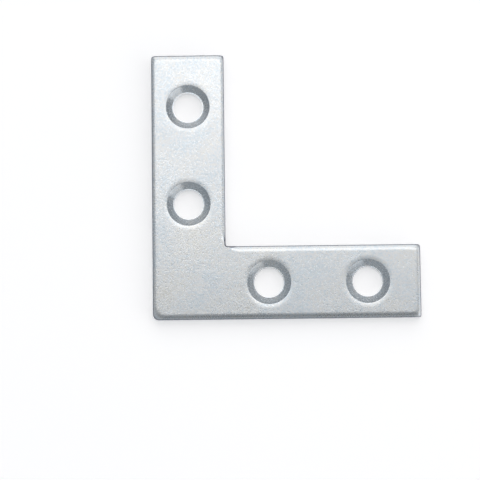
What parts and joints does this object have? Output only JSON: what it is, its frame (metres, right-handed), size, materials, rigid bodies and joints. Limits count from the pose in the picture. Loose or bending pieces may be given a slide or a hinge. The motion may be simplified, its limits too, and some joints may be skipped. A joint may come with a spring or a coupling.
{
  "type": "corner brace",
  "caption": "Flat L-shaped steel corner brace with countersunk screw holes in both legs, bright zinc plated.",
  "frame": {"origin": "on the underside plane, under the centre of the square that encloses the plate", "axes": "+Z out of the countersunk face, +Y along one leg towards its end, +X along the other leg towards its end"},
  "size_m": [0.038, 0.038, 0.002],
  "materials": {
    "zinc_plated_steel": "bright zinc plating over fine-grained sheet steel, satin sheen"
  },
  "bodies": {
    "root": {"corner_plate": "zinc_plated_steel"}
  },
  "joints": []
}
